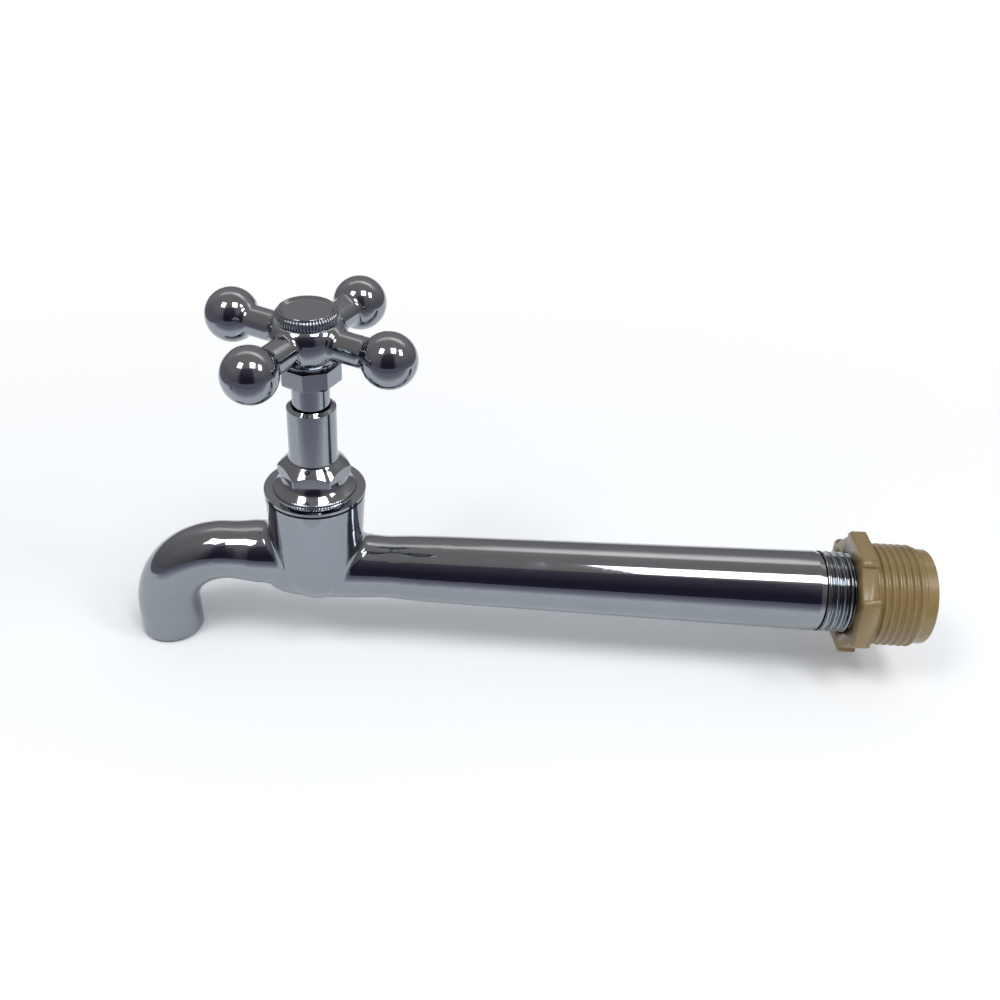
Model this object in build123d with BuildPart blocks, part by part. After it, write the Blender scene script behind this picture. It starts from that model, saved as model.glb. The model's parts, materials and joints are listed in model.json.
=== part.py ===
import os
from math import cos, radians, sin, sqrt, tan

from build123d import *

# Wall-mounted sink tap with a long inlet shank, a rising spindle and a cross handle.
# Origin: the middle of the inlet, on the flange face that meets the wall fitting.
# +X points into the wall, +Z up along the spindle, and the tap is drawn closed.

# Main places
stem_reach = 142.0            # wall face to the spindle axis
spout_reach = 41.5            # spindle axis to the middle of the outlet
outlet_drop = 23.5            # inlet axis down to the outlet rim
spout_rise = 2.9              # inlet axis up to the level stretch of the spout
handle_rise = 17.7            # top of the neck up to the middle of the ball ends
handle_angle = -26.2          # direction of the first arm, from +X
spindle_lift = 5.0            # closed to fully open

# Fits
turn_gap = 0.05               # radial play of a shaft that turns in its bore
thread_gap = 0.02             # radial play between the plain cylinders of a thread pair
seat_gap = 0.1                # rubber washer over the closed seat
ring_gap = 0.02               # O-ring to the groove and to the bore
loose_gap = 0.15              # screw, stud or stem through a plain hole
cut_over = 1.0                # how far a cut runs past the face that it opens

# Shank of the body, with the inlet thread
shank_bore_radius = 6.4
shank_waist_radius = 8.25     # beside the valve chamber
shank_waist_place = 16.0      # spindle axis to the waist
shank_near_radius = 9.0       # where the even taper to the thread begins
shank_near_place = 40.0       # spindle axis to that point
shank_thread_radius = 10.478  # G1/2
shank_thread_length = 20.0
shank_in_bushing = 13.0       # how deep the shank screws in
runout_depth = 0.35
runout_length = 1.6
end_chamfer = 0.8

# Reducing bushing
bushing_thread_radius = 13.22  # G3/4
bushing_thread_length = 13.1
bushing_lead_radius = 12.3
bushing_length = 15.9
bushing_bore_radius = 9.3
flange_thickness = 4.1
flange_across_flats = 30.0
flange_recess_radius = 14.2   # floor of the recess in every other side
flange_recess_width = 8.4
flange_turn = -3.0
bushing_edge = 0.5

# Valve chamber of the body
boss_top = 23.2
boss_top_radius = 12.7
boss_waist_radius = 12.0
boss_waist_height = 11.0
boss_foot_radius = 10.8       # at the inlet axis, over the rounded bottom
boss_bottom = 8.4             # inlet axis down to the rounded bottom
belly_radius = 8.9            # barrel through the chamber
belly_place = 3.0             # spindle axis to its fullest part, towards the spout
belly_nose = 14.5             # spindle axis to its rounded end
root_blend = 2.5              # fillets where the boss meets the shank and the spout
thread_relief = 0.5           # chamber thread below the bonnet's end
chamber_radius = 8.6
chamber_floor = 3.2
seat_height = 4.4
seat_outer_radius = 6.6
seat_bore_radius = 5.0
seat_bore_depth = 8.2         # from the seat down
passage_radius = 3.7
passage_drop = 2.4            # inlet axis down to the middle of the passage
inlet_wall_stop = 11.6        # spindle axis to the blind end of the inlet bore

# Spout
spout_bore_radius = 5.6
spout_bore_start = 6.6        # spindle axis to the start of the bore
spout_root_radius = 8.35
spout_root_place = 15.0       # spindle axis to the end of the even root
spout_level_radius = 7.65
spout_end_radius = 8.3
spout_bend_radius = 18.5
spout_turn = 92.0             # from level to the outlet's direction
spout_steps = 6               # sections of the bend

# Headwork
gasket_thickness = 0.7
gasket_outer_radius = 12.3
bonnet_thread_radius = 10.478  # G1/2
bonnet_thread_length = 8.6
bonnet_flange_radius = 12.8
bonnet_flange_thickness = 0.7
shoulder_foot_radius = 10.7
shoulder_radius = 9.3
shoulder_height = 2.6
shoulder_round = 1.2
bonnet_hex_across_flats = 16.0
bonnet_hex_turn = 4.0
bonnet_hex_rise = 1.7         # shoulder up to the hexagon
bonnet_hex_height = 3.7
hex_underside_radius = 7.6
hex_chamfer_radius = 7.9      # chamfer's circle on the hexagon's top
hex_chamfer_slope = 30.0
neck_radius = 6.05
neck_length = 15.9            # above the hexagon
neck_edge_width = 0.8         # bevel round the neck's top
neck_edge_height = 1.0
neck_mouth_radius = 5.15
neck_mouth_depth = 1.0
bonnet_pocket_drop = 1.3      # hexagon's underside down to the end of the threaded bore

# Spindle
spindle_radius = 4.6
spindle_thread_radius = 6.3
spindle_nose_length = 3.0
spindle_nose_radius = 5.1
spindle_stop_gap = 0.2        # thread to the end of its bore when fully open
spindle_edge = 0.4
tang_across_flats = 6.6
tang_seat_depth = 2.4         # skirt's bottom up to the shoulder under the tang
tang_gap = 0.2                # tang's end below the screw's washer
ring_groove_depth = 1.5
ring_groove_width = 1.9
upper_ring_drop = 9.0         # below the top of the neck
lower_ring_drop = 15.0
socket_radius = 2.9
socket_depth = 9.0

# Jumper and washer
washer_radius = 6.8
washer_thickness = 2.6
jumper_radius = 7.4
jumper_thickness = 2.0
jumper_rim_depth = 1.2        # rim round the rubber washer
jumper_edge = 0.4
stem_length = 8.4
stud_radius = 1.9
stud_end = 0.5                # stud below the nut
nut_across_flats = 5.6
nut_thickness = 1.5

# Handle
ball_radius = 6.6
ball_circle_radius = 21.95
arm_radius = 3.7
arm_start = 5.5               # inside the hub
ball_blend = 2.4              # hollow between arm and ball
arm_blend = 1.5               # fillet where an arm meets the hub
hub_radius = 9.25             # at its widest
hub_widest_rise = 0.3         # middle of the balls up to the widest part
hub_top_radius = 8.1
hub_top_lean = 0.5            # inward for each mm up, at the hub's top
hub_edge = 0.3
bowl_radius = 7.0
bowl_lean = 0.8               # outward for each mm up, at the bowl's foot
skirt_across_flats = 14.2
skirt_drop = 11.3             # middle of the balls down to the skirt's bottom
skirt_height = 5.2
skirt_edge = 0.5
skirt_foot_edge = 0.8
skirt_neck_radius = 6.4
skirt_neck_height = 1.1
recess_radius = 5.2           # under the cap
recess_drop = 0.5             # middle of the balls down to the recess floor

# Cap and handle screw
cap_radius = 7.5
cap_rise = 7.3                # middle of the balls up to the cap's top
cap_height = 2.65
cap_teeth = 60
cap_tooth_depth = 0.28
cap_bevel_width = 0.5
cap_bevel_height = 1.1
cap_dish_radius = 6.6
cap_dish_floor_radius = 5.6
cap_dish_depth = 0.7
cap_plug_depth = 2.3
cap_plug_bore = 3.9
screw_radius = 2.0
screw_head_radius = 3.6
screw_head_height = 1.8
screw_slot_width = 1.0
screw_slot_depth = 0.9
screw_edge = 0.35
screw_length = 9.0
screw_hole_depth = 9.0
screw_washer_radius = 4.4
screw_washer_thickness = 0.8

# Worked out
stem = (-stem_reach, 0, 0)
stem_axis = Axis(stem, (0, 0, 1))
octagon_turn = 360 / 16         # middle of a flat to its corner
hexagon_turn = 360 / 12
stem_section = Plane(origin=stem, x_dir=(1, 0, 0), z_dir=(0, -1, 0))
flange_face = -flange_thickness
shank_end = shank_in_bushing - flange_thickness
thread_start = shank_end - shank_thread_length
runout_start = thread_start - runout_length
shank_taper_length = runout_start + stem_reach - shank_near_place
shank_taper = (shank_thread_radius - shank_near_radius) / shank_taper_length
bend_centre = spout_reach - spout_bend_radius
bend_drop = spout_bend_radius * (1 - cos(radians(spout_turn)))
spout_tail = (outlet_drop + spout_rise - bend_drop) / sin(radians(spout_turn))
spout_angles = [spout_turn * step / spout_steps for step in range(spout_steps + 1)]
spout_level_section = Plane(
    origin=(-stem_reach, 0, spout_rise), x_dir=(-1, 0, 0), z_dir=(0, 1, 0)
)
bonnet_seat = boss_top + gasket_thickness
bonnet_top = bonnet_seat + bonnet_flange_thickness
bonnet_bottom = bonnet_seat - bonnet_thread_length
shoulder_top = bonnet_top + shoulder_height
round_inset = shoulder_round * (1 - sqrt(2) / 2)
bonnet_hex_bottom = shoulder_top + bonnet_hex_rise
bonnet_hex_top = bonnet_hex_bottom + bonnet_hex_height
bonnet_pocket_top = bonnet_hex_bottom - bonnet_pocket_drop
neck_top = bonnet_hex_top + neck_length
handle_height = neck_top + handle_rise
neck_bore_radius = spindle_radius + turn_gap
washer_bottom = seat_height + seat_gap
jumper_bottom = washer_bottom + washer_thickness
jumper_top = jumper_bottom + jumper_thickness
spindle_bottom = jumper_top + turn_gap
spindle_thread_bottom = spindle_bottom + spindle_nose_length
spindle_thread_top = bonnet_pocket_top - spindle_lift - spindle_stop_gap
stem_radius = socket_radius - turn_gap
nut_bottom = washer_bottom - nut_thickness
groove_radius = spindle_radius - ring_groove_depth
ring_radius = (neck_bore_radius - groove_radius) / 2 - ring_gap
ring_place = (neck_bore_radius + groove_radius) / 2
arm_angles = [handle_angle + 90 * arm for arm in range(4)]
blend_reach = sqrt((ball_radius + ball_blend) ** 2 - (arm_radius + ball_blend) ** 2)
blend_share = ball_radius / (ball_radius + ball_blend)
ball_blend_end = (
    ball_circle_radius - blend_reach * blend_share,
    (arm_radius + ball_blend) * blend_share,
)
ring_heights = (neck_top - upper_ring_drop, neck_top - lower_ring_drop)
skirt_bottom = handle_height - skirt_drop
skirt_top = skirt_bottom + skirt_height
bowl_bottom = skirt_top + skirt_neck_height
recess_floor = handle_height - recess_drop
tang_bottom = skirt_bottom + tang_seat_depth
tang_top = recess_floor - tang_gap
cap_top = handle_height + cap_rise
cap_bottom = cap_top - cap_height
hub_top = cap_bottom
screw_head_bottom = recess_floor + screw_washer_thickness


def stem_plane(height, turn=0.0):
    """Level plane across the spindle axis."""
    x_dir = (cos(radians(turn)), sin(radians(turn)), 0)
    return Plane(origin=(-stem_reach, 0, height), x_dir=x_dir, z_dir=(0, 0, 1))


def spout_section(angle):
    """Plane square to the spout's bend, at an angle from the level stretch."""
    turned = radians(angle)
    return Plane(
        origin=(
            -stem_reach - bend_centre - spout_bend_radius * sin(turned),
            0,
            spout_rise - spout_bend_radius * (1 - cos(turned)),
        ),
        x_dir=(0, 1, 0),
        z_dir=(-cos(turned), 0, -sin(turned)),
    )


def spout_radius_at(angle):
    """The spout widens evenly from its level stretch to the outlet."""
    return spout_level_radius + (spout_end_radius - spout_level_radius) * angle / spout_turn


def arm_plane(angle):
    """Upright plane along one arm of the handle, through the middle of its ball."""
    x_dir = (cos(radians(angle)), sin(radians(angle)), 0)
    z_dir = (sin(radians(angle)), -cos(radians(angle)), 0)
    return Plane(origin=(-stem_reach, 0, handle_height), x_dir=x_dir, z_dir=z_dir)


os.makedirs("parts", exist_ok=True)

# Body: shank, valve chamber and spout in one casting
with BuildPart() as tap_body:
    # Shank, thread end and the barrel under the chamber, all on the inlet axis
    with BuildSketch(Plane.XZ):
        with BuildLine():
            Spline(
                (-stem_reach - belly_nose, 0),
                (-stem_reach - belly_place, belly_radius),
                (-stem_reach + shank_waist_place, shank_waist_radius),
                (-stem_reach + shank_near_place, shank_near_radius),
                tangents=((0, 1), (1, shank_taper)),
            )
            Polyline(
                (-stem_reach + shank_near_place, shank_near_radius),
                (runout_start, shank_thread_radius),
                (thread_start, shank_thread_radius - runout_depth),
                (thread_start + runout_depth, shank_thread_radius),
                (shank_end - end_chamfer, shank_thread_radius),
                (shank_end, shank_thread_radius - end_chamfer),
                (shank_end, 0),
                (-stem_reach - belly_nose, 0),
            )
        make_face()
    revolve(axis=Axis.X)
    # Valve chamber: a tapered boss with a rounded bottom
    with BuildSketch(stem_section):
        with BuildLine():
            Polyline(
                (0, -boss_bottom),
                (0, boss_top),
                (boss_top_radius, boss_top),
                (boss_waist_radius, boss_waist_height),
            )
            Spline(
                (boss_waist_radius, boss_waist_height),
                (boss_foot_radius, 0),
                (0, -boss_bottom),
                tangents=((boss_waist_radius - boss_top_radius, boss_waist_height - boss_top), (-1, 0)),
            )
        make_face()
    revolve(axis=stem_axis)
    fillet(tap_body.edges(Select.NEW), root_blend)
    # Spout: a level root, then a bend that widens to a straight tail
    with BuildSketch(spout_level_section):
        with BuildLine():
            Spline(
                (spout_root_place, spout_root_radius),
                (bend_centre, spout_level_radius),
                tangents=((1, 0), (1, 0)),
            )
            Polyline(
                (bend_centre, spout_level_radius),
                (bend_centre, 0),
                (0, 0),
                (0, spout_root_radius),
                (spout_root_place, spout_root_radius),
            )
        make_face()
    revolve(axis=Axis(spout_level_section.origin, spout_level_section.x_dir))
    fillet(tap_body.edges(Select.NEW), root_blend)
    for angle in spout_angles:
        with BuildSketch(spout_section(angle)):
            Circle(spout_radius_at(angle))
    loft()
    with BuildSketch(spout_section(spout_turn)):
        Circle(spout_end_radius)
    extrude(amount=spout_tail)
    # Inlet bore with its drilled passage, and the seat's bore up from it
    with BuildSketch(Plane.YZ.offset(shank_end)):
        Circle(shank_bore_radius)
    extrude(amount=-(shank_end + stem_reach - inlet_wall_stop), mode=Mode.SUBTRACT)
    with BuildSketch(Plane(origin=(-stem_reach, 0, -passage_drop), x_dir=(0, 1, 0), z_dir=(1, 0, 0))):
        Circle(passage_radius)
    extrude(amount=inlet_wall_stop + cut_over, mode=Mode.SUBTRACT)
    with BuildSketch(stem_plane(seat_height)):
        Circle(seat_bore_radius)
    extrude(amount=-seat_bore_depth, mode=Mode.SUBTRACT)
    # Chamber round the raised seat, with the bonnet's thread over it
    with BuildSketch(stem_section):
        with BuildLine():
            Polyline(
                (0, seat_height),
                (seat_outer_radius, seat_height),
                (seat_outer_radius, chamber_floor),
                (chamber_radius, chamber_floor),
                (chamber_radius, bonnet_bottom - thread_relief),
                (bonnet_thread_radius + thread_gap, bonnet_bottom - thread_relief),
                (bonnet_thread_radius + thread_gap, boss_top + cut_over),
                (0, boss_top + cut_over),
                close=True,
            )
        make_face()
    revolve(axis=stem_axis, mode=Mode.SUBTRACT)
    # Spout bore
    with BuildLine(stem_section) as water_way:
        level = Line((-spout_bore_start, spout_rise), (-bend_centre, spout_rise))
        bend = CenterArc(
            (-bend_centre, spout_rise - spout_bend_radius), spout_bend_radius, 90, spout_turn
        )
        Line(bend @ 1, (bend @ 1) + (bend % 1) * spout_tail)
    with BuildSketch(Plane(origin=level @ 0, x_dir=(0, 1, 0), z_dir=(-1, 0, 0))):
        Circle(spout_bore_radius)
    sweep(path=water_way.wires()[0], mode=Mode.SUBTRACT)
tap_body.part.label = "tap_body"
export_step(tap_body.part, "parts/tap_body.step")

# Reducing bushing: eight-sided flange with every other side recessed, thread, plain lead
with BuildPart() as inlet_bushing:
    with BuildSketch(Plane.YZ.offset(flange_face)):
        RegularPolygon(
            flange_across_flats / 2, 8, major_radius=False, rotation=octagon_turn + flange_turn
        )
    extrude(amount=flange_thickness)
    recess_depth = flange_across_flats / 2 - flange_recess_radius
    recess_middle = flange_across_flats / 2
    with BuildSketch(Plane.YZ.offset(flange_face)):
        with PolarLocations(recess_middle, 4, start_angle=2 * octagon_turn + flange_turn):
            Rectangle(2 * recess_depth, flange_recess_width)
    extrude(amount=flange_thickness, mode=Mode.SUBTRACT)
    chamfer(inlet_bushing.faces().sort_by(Axis.X)[0].edges(), bushing_edge)
    with BuildSketch(Plane.YZ):
        Circle(bushing_thread_radius)
    extrude(amount=bushing_thread_length)
    with BuildSketch(Plane.YZ):
        Circle(bushing_lead_radius)
    extrude(amount=bushing_length)
    fillet(inlet_bushing.faces().sort_by(Axis.X)[-1].edges(), bushing_edge)
    with BuildSketch(Plane.YZ.offset(flange_face)):
        Circle(shank_thread_radius + thread_gap)
    extrude(amount=shank_in_bushing, mode=Mode.SUBTRACT)
    with BuildSketch(Plane.YZ.offset(bushing_length)):
        Circle(bushing_bore_radius)
    extrude(amount=-(bushing_length - shank_end), mode=Mode.SUBTRACT)
inlet_bushing.part.label = "inlet_bushing"
export_step(inlet_bushing.part, "parts/inlet_bushing.step")

# Flat gasket under the bonnet's flange
with BuildPart() as bonnet_gasket:
    with BuildSketch(stem_plane(boss_top)):
        Circle(gasket_outer_radius)
        Circle(bonnet_thread_radius + loose_gap, mode=Mode.SUBTRACT)
    extrude(amount=gasket_thickness)
bonnet_gasket.part.label = "bonnet_gasket"
export_step(bonnet_gasket.part, "parts/bonnet_gasket.step")

# Bonnet: thread, flange, shoulder, hexagon and the neck that guides the spindle
with BuildPart() as bonnet:
    with BuildSketch(stem_section):
        with BuildLine():
            Polyline(
                (0, neck_top),
                (0, bonnet_bottom),
                (bonnet_thread_radius - end_chamfer, bonnet_bottom),
                (bonnet_thread_radius, bonnet_bottom + end_chamfer),
                (bonnet_thread_radius, bonnet_seat),
                (bonnet_flange_radius, bonnet_seat),
                (bonnet_flange_radius, bonnet_top),
                (shoulder_foot_radius, bonnet_top),
            )
            RadiusArc(
                (shoulder_foot_radius, bonnet_top),
                (shoulder_radius, bonnet_top + (shoulder_foot_radius - shoulder_radius)),
                -(shoulder_foot_radius - shoulder_radius),
            )
            Line(
                (shoulder_radius, bonnet_top + (shoulder_foot_radius - shoulder_radius)),
                (shoulder_radius, shoulder_top - shoulder_round),
            )
            ThreePointArc(
                (shoulder_radius, shoulder_top - shoulder_round),
                (shoulder_radius - round_inset, shoulder_top - round_inset),
                (shoulder_radius - shoulder_round, shoulder_top),
            )
            Polyline(
                (shoulder_radius - shoulder_round, shoulder_top),
                (hex_underside_radius, bonnet_hex_bottom),
                (neck_radius, bonnet_hex_bottom),
                (neck_radius, neck_top - neck_edge_height),
                (neck_radius - neck_edge_width, neck_top),
                (0, neck_top),
            )
        make_face()
    revolve(axis=stem_axis)
    with BuildSketch(stem_plane(bonnet_hex_bottom, bonnet_hex_turn)):
        RegularPolygon(bonnet_hex_across_flats / 2, 6, major_radius=False)
    extrude(amount=bonnet_hex_top - bonnet_hex_bottom)
    # Chamfer round the hexagon's top
    hex_corner = bonnet_hex_across_flats / 2 / cos(radians(hexagon_turn)) + cut_over
    hex_chamfer_depth = (hex_corner - hex_chamfer_radius) * tan(radians(hex_chamfer_slope))
    with BuildSketch(stem_section):
        with BuildLine():
            Polyline(
                (hex_chamfer_radius, bonnet_hex_top),
                (hex_corner, bonnet_hex_top - hex_chamfer_depth),
                (hex_corner, bonnet_hex_top),
                close=True,
            )
        make_face()
    revolve(axis=stem_axis, mode=Mode.SUBTRACT)
    # Threaded bore below, guide bore above, opened at the mouth
    with BuildSketch(stem_section):
        with BuildLine():
            Polyline(
                (0, bonnet_bottom),
                (spindle_thread_radius + thread_gap, bonnet_bottom),
                (spindle_thread_radius + thread_gap, bonnet_pocket_top),
                (neck_bore_radius, bonnet_pocket_top),
                (neck_bore_radius, neck_top - neck_mouth_depth),
                (neck_mouth_radius, neck_top - neck_mouth_depth),
                (neck_mouth_radius, neck_top),
                (0, neck_top),
                close=True,
            )
        make_face()
    revolve(axis=stem_axis, mode=Mode.SUBTRACT)
bonnet.part.label = "bonnet"
export_step(bonnet.part, "parts/bonnet.step")

# Jumper: disc with a rim round its washer, stem up into the spindle, stud down for the nut
with BuildPart() as jumper_valve:
    with BuildSketch(stem_section):
        with BuildLine():
            Polyline(
                (0, nut_bottom - stud_end),
                (stud_radius, nut_bottom - stud_end),
                (stud_radius, jumper_bottom),
                (washer_radius + loose_gap, jumper_bottom),
                (washer_radius + loose_gap, jumper_bottom - jumper_rim_depth),
                (jumper_radius, jumper_bottom - jumper_rim_depth),
                (jumper_radius, jumper_top - jumper_edge),
                (jumper_radius - jumper_edge, jumper_top),
                (stem_radius, jumper_top),
                (stem_radius, jumper_top + stem_length - jumper_edge),
                (stem_radius - jumper_edge, jumper_top + stem_length),
                (0, jumper_top + stem_length),
                close=True,
            )
        make_face()
    revolve(axis=stem_axis)
jumper_valve.part.label = "jumper_valve"
export_step(jumper_valve.part, "parts/jumper_valve.step")

# Rubber washer that closes the seat
with BuildPart() as seat_washer:
    with BuildSketch(stem_plane(washer_bottom)):
        Circle(washer_radius)
        Circle(stud_radius + loose_gap, mode=Mode.SUBTRACT)
    extrude(amount=washer_thickness)
seat_washer.part.label = "seat_washer"
export_step(seat_washer.part, "parts/seat_washer.step")

# Nut that holds the washer on the jumper's stud
with BuildPart() as washer_nut:
    with BuildSketch(stem_plane(nut_bottom)):
        RegularPolygon(nut_across_flats / 2, 6, major_radius=False)
        Circle(stud_radius + thread_gap, mode=Mode.SUBTRACT)
    extrude(amount=nut_thickness)
washer_nut.part.label = "washer_nut"
export_step(washer_nut.part, "parts/washer_nut.step")

# Spindle: nose, thread, smooth rod with two ring grooves, square tang for the handle
with BuildPart() as spindle:
    with BuildSketch(stem_section):
        with BuildLine():
            Polyline(
                (0, spindle_bottom),
                (spindle_nose_radius - spindle_edge, spindle_bottom),
                (spindle_nose_radius, spindle_bottom + spindle_edge),
                (spindle_nose_radius, spindle_thread_bottom),
                (spindle_thread_radius, spindle_thread_bottom),
                (spindle_thread_radius, spindle_thread_top),
                (spindle_radius, spindle_thread_top),
                (spindle_radius, tang_bottom),
                (0, tang_bottom),
                close=True,
            )
        make_face()
    revolve(axis=stem_axis)
    for ring_height in ring_heights:
        with BuildSketch(stem_plane(ring_height - ring_groove_width / 2)):
            Circle(spindle_radius + ring_gap)
            Circle(groove_radius, mode=Mode.SUBTRACT)
        extrude(amount=ring_groove_width, mode=Mode.SUBTRACT)
    with BuildSketch(stem_plane(tang_bottom, handle_angle)):
        Circle(spindle_radius)
        Rectangle(tang_across_flats, tang_across_flats, mode=Mode.INTERSECT)
    extrude(amount=tang_top - tang_bottom)
    with BuildSketch(stem_plane(spindle_bottom)):
        Circle(socket_radius)
    extrude(amount=socket_depth, mode=Mode.SUBTRACT)
    with BuildSketch(stem_plane(tang_top)):
        Circle(screw_radius + thread_gap)
    extrude(amount=-screw_hole_depth, mode=Mode.SUBTRACT)
spindle.part.label = "spindle"
export_step(spindle.part, "parts/spindle.step")

# O-rings, drawn as they lie squeezed between groove and bore
with BuildPart() as upper_o_ring:
    with BuildSketch(stem_section):
        with Locations((ring_place, ring_heights[0])):
            Circle(ring_radius)
    revolve(axis=stem_axis)
upper_o_ring.part.label = "upper_o_ring"
export_step(upper_o_ring.part, "parts/upper_o_ring.step")

with BuildPart() as lower_o_ring:
    with BuildSketch(stem_section):
        with Locations((ring_place, ring_heights[1])):
            Circle(ring_radius)
    revolve(axis=stem_axis)
lower_o_ring.part.label = "lower_o_ring"
export_step(lower_o_ring.part, "parts/lower_o_ring.step")

# Handle: eight-sided skirt, bowl-shaped hub and four arms with ball ends
with BuildPart() as handle_cross:
    with BuildSketch(stem_plane(skirt_bottom, handle_angle)):
        RegularPolygon(skirt_across_flats / 2, 8, major_radius=False, rotation=octagon_turn)
    extrude(amount=skirt_top - skirt_bottom)
    chamfer(handle_cross.edges().group_by(Axis.Z)[0], skirt_foot_edge)
    chamfer(handle_cross.edges().group_by(Axis.Z)[-1], skirt_edge)
    with BuildSketch(stem_section):
        with BuildLine():
            Polyline(
                (0, hub_top),
                (0, skirt_top),
                (skirt_neck_radius, skirt_top),
                (skirt_neck_radius, bowl_bottom),
                (bowl_radius, bowl_bottom),
            )
            Spline(
                (bowl_radius, bowl_bottom),
                (hub_radius, handle_height + hub_widest_rise),
                (hub_top_radius, hub_top),
                tangents=((bowl_lean, 1), (-hub_top_lean, 1)),
            )
            Line((hub_top_radius, hub_top), (0, hub_top))
        make_face()
    revolve(axis=stem_axis)
    chamfer(handle_cross.edges().group_by(Axis.Z)[-1], hub_edge)
    for angle in arm_angles:
        with BuildSketch(arm_plane(angle)):
            with BuildLine():
                Polyline(
                    (ball_circle_radius + ball_radius, 0),
                    (arm_start, 0),
                    (arm_start, arm_radius),
                    (ball_circle_radius - blend_reach, arm_radius),
                )
                TangentArc(
                    (ball_circle_radius - blend_reach, arm_radius),
                    ball_blend_end,
                    tangent=(1, 0),
                )
                ThreePointArc(
                    ball_blend_end,
                    (ball_circle_radius, ball_radius),
                    (ball_circle_radius + ball_radius, 0),
                )
            make_face()
        revolve(axis=Axis(arm_plane(angle).origin, arm_plane(angle).x_dir))
        fillet(handle_cross.edges(Select.NEW), arm_blend)
    # Bore for the rod, square for the tang, recess for the screw under the cap
    with BuildSketch(stem_plane(skirt_bottom)):
        Circle(spindle_radius + turn_gap)
    extrude(amount=tang_bottom - skirt_bottom, mode=Mode.SUBTRACT)
    with BuildSketch(stem_plane(tang_bottom, handle_angle)):
        Circle(spindle_radius + turn_gap)
        tang_hole = tang_across_flats + 2 * turn_gap
        Rectangle(tang_hole, tang_hole, mode=Mode.INTERSECT)
    extrude(amount=recess_floor - tang_bottom, mode=Mode.SUBTRACT)
    with BuildSketch(stem_plane(recess_floor)):
        Circle(recess_radius)
    extrude(amount=hub_top - recess_floor, mode=Mode.SUBTRACT)
handle_cross.part.label = "handle_cross"
export_step(handle_cross.part, "parts/handle_cross.step")

# Washer and screw that hold the handle on the spindle
with BuildPart() as screw_washer:
    with BuildSketch(stem_plane(recess_floor)):
        Circle(screw_washer_radius)
        Circle(screw_radius + loose_gap, mode=Mode.SUBTRACT)
    extrude(amount=screw_washer_thickness)
screw_washer.part.label = "screw_washer"
export_step(screw_washer.part, "parts/screw_washer.step")

with BuildPart() as handle_screw:
    with BuildSketch(stem_plane(screw_head_bottom)):
        Circle(screw_head_radius)
    extrude(amount=screw_head_height)
    chamfer(handle_screw.faces().sort_by(Axis.Z)[-1].edges(), screw_edge)
    with BuildSketch(stem_plane(screw_head_bottom + screw_head_height, handle_angle)):
        Rectangle(2 * screw_head_radius, screw_slot_width)
    extrude(amount=-screw_slot_depth, mode=Mode.SUBTRACT)
    with BuildSketch(stem_plane(screw_head_bottom)):
        Circle(screw_radius)
    extrude(amount=-screw_length)
handle_screw.part.label = "handle_screw"
export_step(handle_screw.part, "parts/handle_screw.step")

# Cap: knurled rim, bevelled and slightly dished top, plug that presses into the hub
with BuildPart() as index_cap:
    with BuildSketch(stem_plane(cap_bottom)):
        with BuildLine():
            tooth_points = []
            for tooth in range(cap_teeth):
                for half, radius in ((0, cap_radius), (0.5, cap_radius - cap_tooth_depth)):
                    turned = radians(360 * (tooth + half) / cap_teeth)
                    tooth_points.append((radius * cos(turned), radius * sin(turned)))
            Polyline(*tooth_points, close=True)
        make_face()
    extrude(amount=cap_height)
    with BuildSketch(stem_section):
        with BuildLine():
            Polyline(
                (cap_radius - cap_bevel_width, cap_top),
                (cap_radius + cap_bevel_width, cap_top - 2 * cap_bevel_height),
                (cap_radius + cap_bevel_width, cap_top),
                close=True,
            )
        make_face()
    revolve(axis=stem_axis, mode=Mode.SUBTRACT)
    with BuildSketch(stem_section):
        with BuildLine():
            Polyline(
                (0, cap_top - cap_dish_depth),
                (cap_dish_floor_radius, cap_top - cap_dish_depth),
                (cap_dish_radius, cap_top),
                (0, cap_top),
                close=True,
            )
        make_face()
    revolve(axis=stem_axis, mode=Mode.SUBTRACT)
    with BuildSketch(stem_plane(cap_bottom)):
        Circle(recess_radius - turn_gap)
    extrude(amount=-cap_plug_depth)
    with BuildSketch(stem_plane(cap_bottom - cap_plug_depth)):
        Circle(cap_plug_bore)
    extrude(amount=cap_plug_depth, mode=Mode.SUBTRACT)
index_cap.part.label = "index_cap"
export_step(index_cap.part, "parts/index_cap.step")
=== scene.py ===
import json
import math
from functools import partial

import bmesh
import bpy
from mathutils import Matrix, Vector


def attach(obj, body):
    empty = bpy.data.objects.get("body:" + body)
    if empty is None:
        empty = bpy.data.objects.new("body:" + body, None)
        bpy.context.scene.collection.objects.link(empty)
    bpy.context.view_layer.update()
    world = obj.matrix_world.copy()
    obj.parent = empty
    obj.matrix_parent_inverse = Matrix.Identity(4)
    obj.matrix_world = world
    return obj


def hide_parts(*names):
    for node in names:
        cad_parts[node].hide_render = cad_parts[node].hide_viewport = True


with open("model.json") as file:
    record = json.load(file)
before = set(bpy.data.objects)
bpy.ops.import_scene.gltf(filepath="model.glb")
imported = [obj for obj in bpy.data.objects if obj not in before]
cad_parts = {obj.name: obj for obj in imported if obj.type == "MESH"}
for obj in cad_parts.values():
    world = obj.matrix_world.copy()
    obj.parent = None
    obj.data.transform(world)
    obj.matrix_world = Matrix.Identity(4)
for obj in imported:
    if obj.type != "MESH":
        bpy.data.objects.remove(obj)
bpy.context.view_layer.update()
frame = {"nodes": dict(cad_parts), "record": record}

MM = 0.001
HAIR = 0.001 * MM
STEM_X = -0.142


# Node helpers


def put(tree, value, socket):
    """Sets a socket to a number, or links it to another node's output."""
    if isinstance(value, (int, float)):
        socket.default_value = value
    else:
        tree.links.new(value, socket)


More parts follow.
